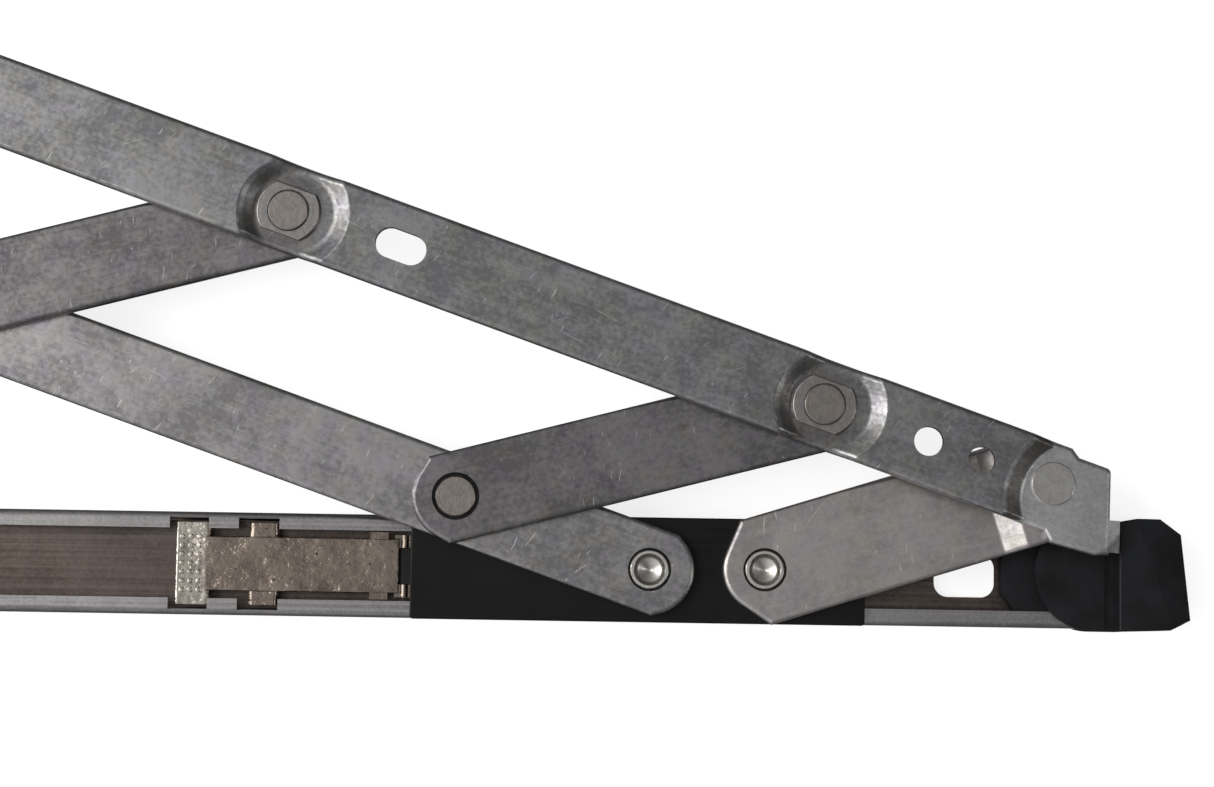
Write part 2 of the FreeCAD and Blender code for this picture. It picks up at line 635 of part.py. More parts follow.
def tip_lip():
    """Small lip bent down along the lower part of the tip's cut edge."""
    bottom = VENT_FLOOR_TOP - TIP_LIP_THICKNESS
    top = VENT_FLOOR_TOP - TIP_LIP_INSET / 2
    section = [
        (-TIP_LIP_REACH, bottom), (0, bottom), (TIP_LIP_REACH, bottom - TIP_LIP_DROP),
        (TIP_LIP_REACH + TIP_LIP_INSET, top - TIP_LIP_DROP), (TIP_LIP_INSET, top), (-TIP_LIP_REACH, top),
    ]
    lip = section_along_y(section, TIP_LIP_LENGTH)
    lip.translate(point(0, TIP_LIP_LENGTH / 2 + TIP_LIP_INSET))
    return turn_and_move(lip, TIP_END_LOWER, direction(TIP_END_LOWER, TIP_END_UPPER) - 90)


def vent_arm():
    """Two pivot dishes, a joggled tip, sash screw holes and a slot in one long pressing."""
    tail = -LINK_PITCH - VENT_TAIL
    tip_x = TIP_DISH_CENTRE[0]
    reach = 2 * VENT_WIDTH
    sheet = wide_box(tail - 1, tip_x, reach, VENT_BOTTOM, VENT_TOP)
    dishes = [(TIP_DISH_CENTRE, TIP_DISH_INNER, TIP_DISH_OUTER)]
    for pivot in (VENT_FRONT_PIVOT, VENT_REAR_PIVOT):
        x, y = on_vent_arm(pivot)
        dishes.append(((x + DISH_SHIFT, y), DISH_INNER, DISH_OUTER))
    left_of_tip = wide_box(tail, tip_x, 2 * reach, 0, VENT_TOP + 1)
    for centre, inner, outer in dishes:
        rim = disc(outer + DISH_RIM_BEND, 0, VENT_TOP + 1, centre)
        sheet = sheet.cut(rim).fuse(dish(centre, inner, outer).common(rim).common(left_of_tip))
    tip_floor = wide_box(tip_x, TIP_END_LOWER[0] + 1, reach, VENT_FLOOR_BOTTOM, VENT_FLOOR_TOP)
    sheet = sheet.fuse(tip_floor).removeSplitter()
    arm = round_top_rim(sheet.common(vent_outline()))
    arm = arm.fuse(tip_lip()).removeSplitter()
    arm = arm.cut(vent_openings())
    return turn_and_move(arm, VENT_FRONT_PIVOT, VENT_ANGLE)


def vent_openings():
    above = VENT_TOP + 1
    cuts = [slot(VENT_SLOT, VENT_SLOT_LENGTH, VENT_SLOT_WIDTH, VENT_BOTTOM - 1, above)]
    for x, diameter in VENT_HOLES + TAIL_HOLES:
        cuts.append(disc(diameter / 2, VENT_BOTTOM - 1, above, (x, VENT_SHIFT)))
    for pivot in (VENT_FRONT_PIVOT, VENT_REAR_PIVOT):
        cuts.append(disc(LINK_SHANK, 0, above, on_vent_arm(pivot)))
    cuts.append(disc(TIP_SHANK + TIP_CLEARANCE, 0, above, on_vent_arm(VENT_TIP_PIVOT)))
    return Part.makeCompound(cuts)


def release_clip():
    """Spring clip: a press bar with grip pips, a raised plate with flanges, tabs, ears and hinged prongs."""
    bar_bottom = CLIP_BAR_TOP - CLIP_THICKNESS
    plate_bottom = CLIP_PLATE_TOP - CLIP_THICKNESS
    bar = wide_box(CLIP_LEFT, CLIP_BAR_RIGHT + 1, CLIP_BAR_WIDTH, bar_bottom, CLIP_BAR_TOP)
    bar = bar.makeFillet(CLIP_BAR_ROUND, bar.Edges)
    plate = wide_box(CLIP_BAR_RIGHT, CLIP_PLATE_RIGHT, CLIP_PLATE_WIDTH, plate_bottom, CLIP_PLATE_TOP)
    rim = [e for e in edges_at_height(plate, CLIP_PLATE_TOP) if e.BoundBox.XMax > CLIP_PLATE_RIGHT - 1]
    plate = plate.makeFillet(CLIP_THICKNESS / 2, rim)
    pieces = [plate]
    for side in (-1, 1):
        pieces += clip_side(side, plate_bottom)
    for column in range(GRIP_COLUMNS):
        pieces += [grip_pip(column, row) for row in range(GRIP_ROWS)]
    clip = bar.fuse(pieces).removeSplitter()
    return clip.cut(across(KNUCKLE_BORE, -TRACK_WIDTH, TRACK_WIDTH))


def clip_side(side, plate_bottom):
    """One side of the clip: turned-down flange, rounded lock tab, ear, and a prong with its knuckle."""
    def strip(x0, x1, y0, y1, z0, z1):
        return box(x0, x1, min(side * y0, side * y1), max(side * y0, side * y1), z0, z1)
    half = CLIP_PLATE_WIDTH / 2
    inner = half - CLIP_THICKNESS
    joined = plate_bottom + CLIP_OVERLAP
    flange = strip(CLIP_BAR_RIGHT, CLIP_PLATE_RIGHT, inner, half, CLIP_FLANGE_BOTTOM, joined)
    x0 = CLIP_TAB_CENTRE - CLIP_TAB_LENGTH / 2
    x1 = CLIP_TAB_CENTRE + CLIP_TAB_LENGTH / 2
    tab = strip(x0, x1, inner, CLIP_TAB_SPAN / 2, CLIP_FLANGE_BOTTOM, CLIP_BAR_TOP)
    shoulders = [e for e in cross_edges(tab) if same(e.BoundBox.ZMin, CLIP_BAR_TOP)]
    tab = tab.makeFillet(CLIP_TAB_ROUND, shoulders)
    ear = strip(*CLIP_EAR, inner, CLIP_EAR_SPAN / 2, plate_bottom, CLIP_EAR_TOP)
    low = CLIP_PRONG_CENTRE - CLIP_PRONG_WIDTH / 2
    high = CLIP_PRONG_CENTRE + CLIP_PRONG_WIDTH / 2
    prong = strip(CLIP_PLATE_RIGHT - 1, CLIP_PRONG_RIGHT, low, high, *CLIP_PRONG_HEIGHTS)
    knuckle = across(KNUCKLE_RADIUS, min(side * low, side * high), max(side * low, side * high))
    return [flange, tab, ear, prong, knuckle]


def grip_pip(column, row):
    """One round-topped pip of the grip pattern on the press bar."""
    x = GRIP_CENTRE + (column - (GRIP_COLUMNS - 1) / 2) * GRIP_PITCH[0]
    y = (row - (GRIP_ROWS - 1) / 2) * GRIP_PITCH[1]
    top = CLIP_BAR_TOP + GRIP_HEIGHT
    pip = disc(GRIP_RADIUS, CLIP_BAR_TOP - CLIP_OVERLAP, top, (x, y))
    return pip.makeFillet(GRIP_ROUND, edges_at_height(pip, top))


def end_cap():
    """Moulded cap: a tongue in the channel, a round-ended sleeve over the track and a sloped stop block."""
    half, nose = TONGUE_WIDTH / 2, TONGUE_NOSE_WIDTH / 2
    shoulder = TONGUE_LEFT + TONGUE_NOSE_DEPTH
    upper = [(TRACK_RIGHT + 1, half), (shoulder, half), (TONGUE_LEFT, nose)]
    lower = [(x, -y) for x, y in reversed(upper)]
    tongue = prism(upper + lower, TRACK_BASE, TONGUE_TOP)
    cap = tongue.fuse([cap_sleeve(), cap_block()]).removeSplitter()
    groove = wide_box(*CAP_GROOVE_X, 2 * TRACK_WIDTH, SLEEVE_TOP - CAP_GROOVE_DEPTH, BLOCK_TOP + 1)
    return cap.cut([groove, disc(FIXING_SHANK, 0, CAP_SCREW_TOP, (CAP_SCREW_X, 0))])


def cap_sleeve():
    """Hood over the lips and down both walls; its open end is an arc in plan."""
    centre_x = SLEEVE_CENTRE[0]
    right = BLOCK_OUTLINE[0][0] + 1
    left = centre_x - SLEEVE_RADIUS - 1
    hood = wide_box(left, right, 2 * SLEEVE_SIDE, 0, SLEEVE_TOP)
    hood = hood.makeFillet(CAP_EDGE_ROUND, edges_at_height(hood, SLEEVE_TOP))
    plan = disc(SLEEVE_RADIUS, 0, SLEEVE_TOP, SLEEVE_CENTRE)
    plan = plan.fuse(wide_box(centre_x, right, 2 * SLEEVE_SIDE, 0, SLEEVE_TOP))
    gap = CAP_WALL_GAP
    inside = wide_box(left, TRACK_RIGHT + gap, TRACK_WIDTH + 2 * gap, 0, TRACK_HEIGHT + gap)
    opening = TRACK_LIP_OPENING - 2 * gap
    filler = wide_box(left, right, opening, TRACK_BASE, SLEEVE_TOP - CAP_EDGE_ROUND)
    return hood.cut(inside).fuse(filler).common(plan)


def cap_block():
    block = prism(BLOCK_OUTLINE, 0, BLOCK_TOP)
    block = block.makeFillet(CAP_EDGE_ROUND, edges_at_height(block, BLOCK_TOP))
    reach = BLOCK_TOP
    drop = reach * math.tan(math.radians(BLOCK_RAMP_SLOPE))
    wedge = section_along_y([(0, 0), (reach, -drop), (reach, reach), (0, reach)], 3 * TRACK_WIDTH)
    return block.cut(turn_and_move(wedge, (BLOCK_RAMP_X, 0, BLOCK_TOP), BLOCK_RAMP_SKEW))


def sunk_tail():
    """Lower half of a fixing from the back of the track: countersunk head, then the shank's side."""
    sink = FIXING_SINK - (FIXING_SINK - FIXING_SHANK) * FIXING_FLUSH / TRACK_BASE
    return [(0, FIXING_FLUSH), (sink, FIXING_FLUSH), (FIXING_SHANK, TRACK_BASE)]


def end_cap_screw():
    """Countersunk screw through the track's base into the tongue, with a cross recess in its head."""
    top, tip = CAP_SCREW_TOP, CAP_SCREW_TIP
    screw = spun(sunk_tail() + [(FIXING_SHANK, top - tip), (FIXING_SHANK - tip, top), (0, top)])
    half = CROSS_LENGTH / 2
    arms = [wide_box(-half, half, CROSS_WIDTH, 0, CROSS_DEPTH)]
    arms.append(wide_box(-CROSS_WIDTH / 2, CROSS_WIDTH / 2, CROSS_LENGTH, 0, CROSS_DEPTH))
    screw = screw.cut(arms)
    screw.translate(point(CAP_SCREW_X, 0))
    return screw


def stop_top():
    return TRACK_HEIGHT - TRACK_LIP - STOP_GAP


def end_stop_rivet():
    """Countersunk from the back of the track, with its head sunk in the end stop."""
    seat = STOP_RIVET_SEAT
    top = stop_top() - STOP_GAP
    head = STOP_RIVET_HEAD
    crown = STOP_RIVET_CROWN
    upper = [(FIXING_SHANK, seat), (head, seat), (head, top - crown), (head - crown, top), (0, top)]
    return spun(sunk_tail() + upper, (STOP_RIVET_X, 0))


def end_stop():
    """Nylon plug that closes the left end of the channel and stops the carriage."""
    width = TRACK_WIDTH - 2 * TRACK_WALL - 2 * STOP_GAP
    plug = wide_box(TRACK_LEFT, TRACK_LEFT + STOP_LENGTH, width, TRACK_BASE, stop_top())
    plug = plug.makeFillet(EDGE_ROUND, upright_edges(plug))
    plug = plug.makeChamfer(FOOT_CHAMFER, edges_at_height(plug, TRACK_BASE))
    centre = (STOP_RIVET_X, 0)
    counterbore = disc(STOP_RIVET_HEAD + STOP_GAP, STOP_RIVET_SEAT, TRACK_HEIGHT, centre)
    return plug.cut([disc(FIXING_SHANK, 0, TRACK_HEIGHT, centre), counterbore])


def build():
    return {
        "track": track(),
        "end_cap": end_cap(),
        "end_cap_screw": end_cap_screw(),
        "end_stop": end_stop(),
        "end_stop_rivet": end_stop_rivet(),
        "carriage_plate": carriage_plate(),
        "carriage_shoe": carriage_shoe(),
        "long_arm_rivet": carriage_rivet(LONG_PIVOT),
        "short_arm_rivet": carriage_rivet(SHORT_PIVOT),
        "long_arm_washer": friction_washer(LONG_PIVOT, PIVOT_SHANK, CARRIAGE_TOP),
        "short_arm_washer": friction_washer(SHORT_PIVOT, PIVOT_SHANK, CARRIAGE_TOP),
        "release_clip": release_clip(),
        "long_arm": long_arm(),
        "front_link_rivet": link_rivet(FRONT_LINK_PIVOT),
        "rear_link_rivet": link_rivet(REAR_LINK_PIVOT),
        "front_link_washer": friction_washer(FRONT_LINK_PIVOT, LINK_SHANK, LOWER_ARM_TOP),
        "rear_link_washer": friction_washer(REAR_LINK_PIVOT, LINK_SHANK, LOWER_ARM_TOP),
        "front_link_bar": link_bar(FRONT_LINK_PIVOT, VENT_FRONT_PIVOT),
        "rear_link_bar": link_bar(REAR_LINK_PIVOT, VENT_REAR_PIVOT),
        "vent_front_washer": friction_washer(VENT_FRONT_PIVOT, LINK_SHANK, LINK_TOP),
        "vent_rear_washer": friction_washer(VENT_REAR_PIVOT, LINK_SHANK, LINK_TOP),
        "short_arm": short_arm(),
        "vent_tip_rivet": tip_rivet(),
        "vent_tip_washer": friction_washer(VENT_TIP_PIVOT, TIP_SHANK, LINK_TOP),
        "vent_arm": vent_arm(),
        "vent_front_rivet": vent_rivet(VENT_FRONT_PIVOT),
        "vent_rear_rivet": vent_rivet(VENT_REAR_PIVOT),
        "vent_front_collar": collar(VENT_FRONT_PIVOT),
        "vent_rear_collar": collar(VENT_REAR_PIVOT),
    }


os.makedirs("parts", exist_ok=True)
for name, shape in build().items():
    shape.exportStep("parts/" + name + ".step")
    print(name, "valid" if shape.isValid() else "INVALID", len(shape.Solids), round(shape.Volume, 2))
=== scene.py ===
import json
import math
import bpy
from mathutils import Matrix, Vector


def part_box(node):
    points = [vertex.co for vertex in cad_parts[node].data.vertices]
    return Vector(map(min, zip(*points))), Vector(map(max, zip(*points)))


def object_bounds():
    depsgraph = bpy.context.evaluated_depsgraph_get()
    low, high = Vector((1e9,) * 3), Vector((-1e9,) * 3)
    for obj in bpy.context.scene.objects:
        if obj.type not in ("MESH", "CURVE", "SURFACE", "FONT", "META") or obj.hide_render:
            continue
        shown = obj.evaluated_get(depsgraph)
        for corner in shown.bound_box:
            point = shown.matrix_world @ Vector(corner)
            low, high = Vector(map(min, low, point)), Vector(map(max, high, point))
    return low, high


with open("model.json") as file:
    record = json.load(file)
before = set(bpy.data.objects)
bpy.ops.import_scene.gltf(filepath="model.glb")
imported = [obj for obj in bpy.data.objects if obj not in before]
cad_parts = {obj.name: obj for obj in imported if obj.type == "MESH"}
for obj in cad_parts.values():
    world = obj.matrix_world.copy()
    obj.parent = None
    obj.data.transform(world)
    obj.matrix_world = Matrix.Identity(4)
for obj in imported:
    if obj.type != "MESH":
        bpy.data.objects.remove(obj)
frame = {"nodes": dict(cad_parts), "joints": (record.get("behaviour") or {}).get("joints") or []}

# Looks for a friction stay hinge: worn brushed stainless arms, a satin black carriage, a nickel-plated
# release clip and a moulded black end cap, seen from above on a pale floor. Metres throughout.

cad_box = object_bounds()
joints = {joint["name"]: joint for joint in frame["joints"]}

# ---- View and light ----
CAMERA_PLACE = (-0.00877, -0.01724, 0.62)
CAMERA_TILT = 5.13                      # degrees from straight down, towards +Y
CAMERA_ROLL = 0.92                      # degrees; the track runs slightly downhill to the right
SENSOR_WIDTH = 36.0
LENS = 84.8
FLOOR_DROP = 0.0006                     # how far the floor lies under the track's back
FLOOR_SIZE = 6.0
FLOOR_COLOUR = (0.9, 0.9, 0.9)
FLOOR_REFLECTED = (0.25, 0.25, 0.25)    # the floor as the metal sees it
FLOOR_GLOW = 0.78
BACKDROP = (0.93, 0.93, 0.93)
BRIGHT_SIDE = (-0.92, -0.15, 0.3)
SURROUNDINGS = (0.1, 0.62)              # strength on the dim side and on the bright side
SURROUNDINGS_SPAN = (-0.2, 0.78)        # dot products with BRIGHT_SIDE where those two are reached
PANELS = (                              # name, place, size, watts and colour of the soft light panels
    ("left_panel", (-1.0, 0.15, 0.95), (0.9, 1.1), 5.6, (1.0, 0.99, 0.97)),
    ("left_rim", (-1.1, 0.15, 0.12), (0.2, 0.5), 1.4, (1.0, 0.98, 0.95)),
    ("right_rim", (1.0, -0.2, 0.12), (0.2, 0.4), 0.6, (1.0, 0.98, 0.95)),
    ("right_panel", (0.85, -0.12, 0.8), (0.3, 0.5), 0.6, (0.97, 0.98, 1.0)),
)

# ---- Colours; those in pairs are the dark and the light end of a surface's mottling ----
VENT_STEEL = (0.42, 0.415, 0.42)
LONG_ARM_STEEL = (0.47, 0.46, 0.465)
LINK_STEEL = (0.31, 0.30, 0.305)
SHORT_ARM_STEEL = (0.66, 0.625, 0.61)
RIVET_STEEL = (0.46, 0.42, 0.39)
TIP_RIVET_STEEL = (0.8, 0.76, 0.73)
COLLAR_STEEL = (0.46, 0.45, 0.435)
EYELET_STEEL_AND_SHEEN = (1.25, 1.2, 1.08)        # painted highlight: brighter than the steel itself, standing in for the rounded rim's highlights; shade() caps it at 1
TARNISH = ((0.99, 0.975, 1.035), (1.01, 1.01, 0.96))
# a paler tint laid over the vent arm's tip face
PALE_TIP_STEEL = (0.88, 0.87, 0.88)
# painted shade, brown-grey, for the dish floors round the rivets and the step to the tip
RECESS_PAINTED_SHADE = (0.16, 0.15, 0.135)
# painted shade, nearly black, in the gaps round rivet heads and down the eyelets' hollows
SEAT_PAINTED_SHADE = (0.03, 0.028, 0.026)
TRACK_OUTSIDE = ((0.335, 0.325, 0.325), (0.615, 0.6, 0.6))
# painted shade: a darker, warmer copy of the track's steel for the floor inside
TRACK_INSIDE_PAINTED_SHADE = ((0.13, 0.105, 0.092), (0.24, 0.2, 0.18))
NICKEL = ((0.28, 0.225, 0.19), (0.52, 0.44, 0.37))
# painted highlight: a cream sheen laid over the press bar
NICKEL_PAINTED_SHEEN = (0.98, 0.92, 0.82)
NICKEL_PIT = (0.10, 0.08, 0.07)
NICKEL_SPECK = (0.95, 0.88, 0.74)
NYLON = ((0.007, 0.0076, 0.0088), (0.018, 0.0195, 0.023))
NYLON_SCUFF = (0.04, 0.042, 0.046)
ENAMEL = ((0.0055, 0.0057, 0.0062), (0.0145, 0.015, 0.016))
ACETAL = ((0.30, 0.285, 0.25), (0.45, 0.43, 0.39))

# ---- Wear, and where painted shade and highlight lie ----
SCRATCHES = (                           # degrees off the arm, fineness along and across, noise cut
    (8, 60, 2000, 0.745),
    (-34, 90, 2200, 0.75),
    (-68, 240, 1800, 0.72),
    (-80, 300, 1500, 0.72),
)
RECESS_INNER = 0.0075                   # painted shade round a dish's rivet is full to here
RECESS_OUTER = 0.012                    # and gone from here
RECESS_OFFSET = 0.003                   # its middle lies this far left of the rivet
STEP_RIM = 0.0005                       # below the vent arm's top, where the painted shade in its tip's step starts
STEP_HEIGHT = 0.0014                    # from there down to just above the tip's face
TIP_REACH = 0.017                       # from the tip rivet, takes in the whole tip
LONG_ARM_SEAT = 0.00455                 # radii of the round seats the rivet heads lie in
LINK_SEAT = 0.005
SEAT_EDGE = 0.0001
EYELET_LIP = 0.00325                    # radii where an eyelet's rim ends and where its hollow's wall ends
EYELET_FOOT = 0.0024
PRESS_BAR = 0.0062                      # how far from its left end the clip's press bar carries the painted highlight
TRACK_FLOOR = 0.0016                    # height of the inside of the track, with a little to spare; the painted shade inside is full below it


def make_camera():
    camera = bpy.data.objects.new("camera", bpy.data.cameras.new("camera"))
    bpy.context.scene.collection.objects.link(camera)
    camera.data.sensor_width = SENSOR_WIDTH
    camera.data.lens = LENS
    camera.location = CAMERA_PLACE
    camera.rotation_euler = (math.radians(CAMERA_TILT), 0, math.radians(CAMERA_ROLL))
    bpy.context.scene.camera = camera


def make_light(name, place, size, watts, colour):
    """A soft square panel that faces the middle of the stay."""
    lamp = bpy.data.lights.new(name, "AREA")
    lamp.shape = "RECTANGLE"
    lamp.size, lamp.size_y = size
    lamp.energy = watts
    lamp.color = colour
    panel = bpy.data.objects.new(name, lamp)
    bpy.context.scene.collection.objects.link(panel)
    panel.location = place
    panel.rotation_euler = (-Vector(place)).to_track_quat("-Z", "Y").to_euler()


def make_world():
    """Studio surroundings: brightest over the left shoulder, dim towards the right and the far side."""
    world = bpy.data.worlds.new("studio")
    bpy.context.scene.world = world
    world.use_nodes = True
    tree = world.node_tree
    tree.nodes.clear()
    place = tree.nodes.new("ShaderNodeTexCoord")
    facing = tree.nodes.new("ShaderNodeVectorMath")
    facing.operation = "DOT_PRODUCT"
    facing.inputs[1].default_value = BRIGHT_SIDE
    tree.links.new(place.outputs["Generated"], facing.inputs[0])
    level = tree.nodes.new("ShaderNodeMapRange")
    ends = ("From Min", "From Max", "To Min", "To Max")
    for socket, value in zip(ends, (*SURROUNDINGS_SPAN, *SURROUNDINGS)):
        level.inputs[socket].default_value = value
    tree.links.new(facing.outputs["Value"], level.inputs["Value"])
    around = tree.nodes.new("ShaderNodeBackground")
    tree.links.new(level.outputs["Result"], around.inputs["Strength"])
    seen = tree.nodes.new("ShaderNodeBackground")
    seen.inputs["Color"].default_value = (*BACKDROP, 1)
    out = tree.nodes.new("ShaderNodeOutputWorld")
    tree.links.new(only_for_camera(tree, around, seen), out.inputs["Surface"])


def only_for_camera(tree, around, seen):
    """The seen shader for what the camera sees directly, and the other for light and reflections."""
    ray = tree.nodes.new("ShaderNodeLightPath")
    mix = tree.nodes.new("ShaderNodeMixShader")
    tree.links.new(ray.outputs["Is Camera Ray"], mix.inputs["Fac"])
    tree.links.new(around.outputs[0], mix.inputs[1])
    tree.links.new(seen.outputs[0], mix.inputs[2])
    return mix.outputs[0]


def make_floor():
    """A pale floor, which the metal reflects greyer than it is, like the dim room beyond a small table."""
    half = FLOOR_SIZE / 2
    mesh = bpy.data.meshes.new("floor")
    corners = [(-half, -half, 0), (half, -half, 0), (half, half, 0), (-half, half, 0)]
    mesh.from_pydata(corners, [], [(0, 1, 2, 3)])
    floor = bpy.data.objects.new("floor", mesh)
    bpy.context.scene.collection.objects.link(floor)
    floor.location.z = cad_box[0].z - FLOOR_DROP
    material = bpy.data.materials.new("pale_floor")
    material.use_nodes = True
    tree = material.node_tree
    pale = tree.nodes["Principled BSDF"]
    pale.inputs["Base Color"].default_value = (*FLOOR_COLOUR, 1)
    pale.inputs["Roughness"].default_value = 0.9
    pale.inputs["Specular IOR Level"].default_value = 0.1
    pale.inputs["Emission Color"].default_value = (1, 1, 1, 1)
    pale.inputs["Emission Strength"].default_value = FLOOR_GLOW
    grey = tree.nodes.new("ShaderNodeBsdfDiffuse")
    grey.inputs["Color"].default_value = (*FLOOR_REFLECTED, 1)
    output = tree.nodes["Material Output"]
    tree.links.new(only_for_camera(tree, grey, pale), output.inputs["Surface"])
    mesh.materials.append(material)


# ---- Material building ----
class Recipe:
    """A Principled material and the nodes that feed it."""

    def __init__(self, name, metallic, **constants):
        self.material = bpy.data.materials.new(name)
        self.material.use_nodes = True
        self.tree = self.material.node_tree
        self.shader = self.tree.nodes["Principled BSDF"]
        self.shader.inputs["Metallic"].default_value = metallic
        for socket, value in constants.items():
            self.shader.inputs[socket.replace("_", " ")].default_value = value

    def add(self, kind, inputs=(), **settings):
        """A node with its settings made; inputs are (socket, constant or output) pairs."""
        node = self.tree.nodes.new("ShaderNode" + kind)
        for key, value in settings.items():
            setattr(node, key, value)
        for socket, value in inputs:
            self.feed(node, socket, value)
        return node

    def feed(self, node, socket, value):
        if isinstance(value, bpy.types.NodeSocket):
            self.tree.links.new(value, node.inputs[socket])
        else:
            node.inputs[socket].default_value = value

    def position(self, turn=0.0, centre=(0, 0, 0), stretch=(1, 1, 1)):
        """Place on the piece in metres, counted from centre, turned by degrees about Z and stretched."""
        place = self.add("TexCoord").outputs["Object"]
        moved = self.add("VectorMath", [(0, place), (1, centre)], operation="SUBTRACT").outputs[0]
        spin = (0, 0, math.radians(turn))
        turned = self.add("Mapping", [("Vector", moved), ("Rotation", spin)]).outputs[0]
        return self.add("Mapping", [("Vector", turned), ("Scale", stretch)]).outputs[0]

    def noise(self, where, scale, detail=3.0, rough=0.55):
        inputs = [("Vector", where), ("Scale", scale), ("Detail", detail), ("Roughness", rough)]
        return self.add("TexNoise", inputs).outputs["Fac"]

    def patches(self, where, scale, detail=3.0, rough=0.55):
        """Noise with its usual range opened out to 0..1."""
        return self.spread(self.noise(where, scale, detail, rough), 0.34, 0.66)

    def math(self, operation, a, b=0.0):
        return self.add("Math", [(0, a), (1, b)], operation=operation).outputs[0]

    def total(self, *parts):
        """Weighted sum of (value, weight) parts."""
        result = None
        for value, weight in parts:
            term = self.math("MULTIPLY", value, weight)
            result = term if result is None else self.math("ADD", result, term)
        return result

    def spread(self, value, low, high, to_low=0.0, to_high=1.0):
        """Maps low..high to to_low..to_high, clamped."""
        ends = zip(("From Min", "From Max", "To Min", "To Max"), (low, high, to_low, to_high))
        return self.add("MapRange", [("Value", value), *ends], clamp=True).outputs["Result"]

    def near(self, centre, inner, outer):
        """1 within inner metres of the upright line through centre, falling to 0 at outer."""
        flat = self.position(centre=(centre[0], centre[1], 0), stretch=(1, 1, 0))
        radius = self.add("VectorMath", [(0, flat)], operation="LENGTH").outputs["Value"]
        return self.spread(radius, inner, outer, 1.0, 0.0)

    def blend(self, share, dark, light):
        """A colour between two, by share."""
        node = self.add("Mix", data_type="RGBA")
        for socket, value in ((6, dark), (7, light)):
            is_colour = not isinstance(value, bpy.types.NodeSocket)
            self.feed(node, socket, (*value, 1) if is_colour else value)
        self.tree.links.new(share, node.inputs[0])
        return node.outputs[2]

    def bump(self, height, depth, below=None):
        """Relief from a height value, depth metres tall."""
        inputs = [("Height", height), ("Distance", depth), ("Strength", 1.0)]
        if below is not None:
            inputs.append(("Normal", below))
        return self.add("Bump", inputs).outputs["Normal"]

    def finish(self, colour, roughness, normal):
        for socket, value in (("Base Color", colour), ("Roughness", roughness), ("Normal", normal)):
            self.tree.links.new(value, self.shader.inputs[socket])
        return self.material


def shade(colour, factor):
    return tuple(min(1.0, factor * channel) for channel in colour)


def brushed_steel(name, turn, colour, contrast=0.32, painted_shade_and_tint=()):
    """Mill-brushed stainless: tarnish, grain along the arm, scratches, and patches of painted shade and
    tint.

    Each patch is (centre, inner, outer, level, depth, tint): full within inner metres of centre, gone
    at outer, only below the height level, and depth of the way to its tint.
    """
    steel = Recipe(name, 1.0)
    place = steel.position()
    clouds = steel.patches(place, 60.0, 3.0, 0.5)
    blotches = steel.patches(steel.position(turn, stretch=(200, 260, 260)), 1.0, 3.0, 0.55)
    streaks = steel.patches(steel.position(turn, stretch=(30, 900, 90)), 1.0, 2.0, 0.5)
    grain = steel.patches(steel.position(turn, stretch=(160, 3600, 500)), 1.0, 2.0, 0.5)
    speckle = steel.patches(place, 900.0, 3.0, 0.6)
    tone = steel.total((clouds, 0.34), (blotches, 0.16), (streaks, 0.1), (grain, 0.1), (speckle, 0.3))
    share = steel.spread(tone, 0.3, 0.7)
    scratches = steel_scratches(steel, turn)
    shown = steel.blend(share, shade(colour, 1 - contrast), shade(colour, 1 + contrast))
    tarnish = steel.patches(place, 240.0, 2.0, 0.5)
    tinted = steel.add("Mix", [(0, 1.0)], data_type="RGBA", blend_type="MULTIPLY")
    steel.feed(tinted, 6, shown)
    steel.feed(tinted, 7, steel.blend(tarnish, *TARNISH))
    shown = tinted.outputs[2]
    shown = steel.blend(steel.math("MULTIPLY", scratches, 0.7), shown, shade(colour, 2.1))
    height = steel.add("SeparateXYZ", [(0, place)]).outputs["Z"]
    # the patches are painted shade in the dishes, the tip's step and the rivet seats, and a paler tint on
    # the tip's face
    for centre, inner, outer, level, depth, tint in painted_shade_and_tint:
        low_enough = steel.spread(height, level, level + 0.0002, depth, 0.0)
        share_here = steel.math("MULTIPLY", steel.near(centre, inner, outer), low_enough)
        patchy = steel.blend(share, shade(tint, 0.75), shade(tint, 1.25))
        shown = steel.blend(share_here, shown, patchy)
    roughness = steel.spread(tone, 0.25, 0.75, 0.42, 0.3)
    relief = steel.bump(grain, 0.000004)
    relief = steel.bump(blotches, 0.00002, relief)
    relief = steel.bump(clouds, 0.00007, relief)
    relief = steel.bump(scratches, -0.000008, relief)
    return steel.finish(shown, roughness, relief)


def steel_scratches(steel, turn):
    """Sparse short scratches in a few directions, 1 on a scratch and 0 beside it."""
    result = None
    for offset, lengthwise, across, cut in SCRATCHES:
        stretch = (lengthwise, across, 200)
        lines = steel.noise(steel.position(turn + offset, stretch=stretch), 1.0, 2.0, 0.5)
        mask = steel.spread(lines, cut, cut + 0.03)
        result = mask if result is None else steel.math("MAXIMUM", result, mask)
    return result


def coat(piece, material):
    """Puts a material on every slot of a piece."""
    if not piece.data.materials:
        piece.data.materials.append(material)
    for slot in piece.material_slots:
        slot.material = material


def arm_direction(node, joint):
    """Degrees from +X of the line from a joint to the far end of the arm that turns on it."""
    pivot = Vector(joints[joint]["pos_m"])
    low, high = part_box(node)
    middle = (low + high) / 2
    return math.degrees(math.atan2(middle.y - pivot.y, middle.x - pivot.x))


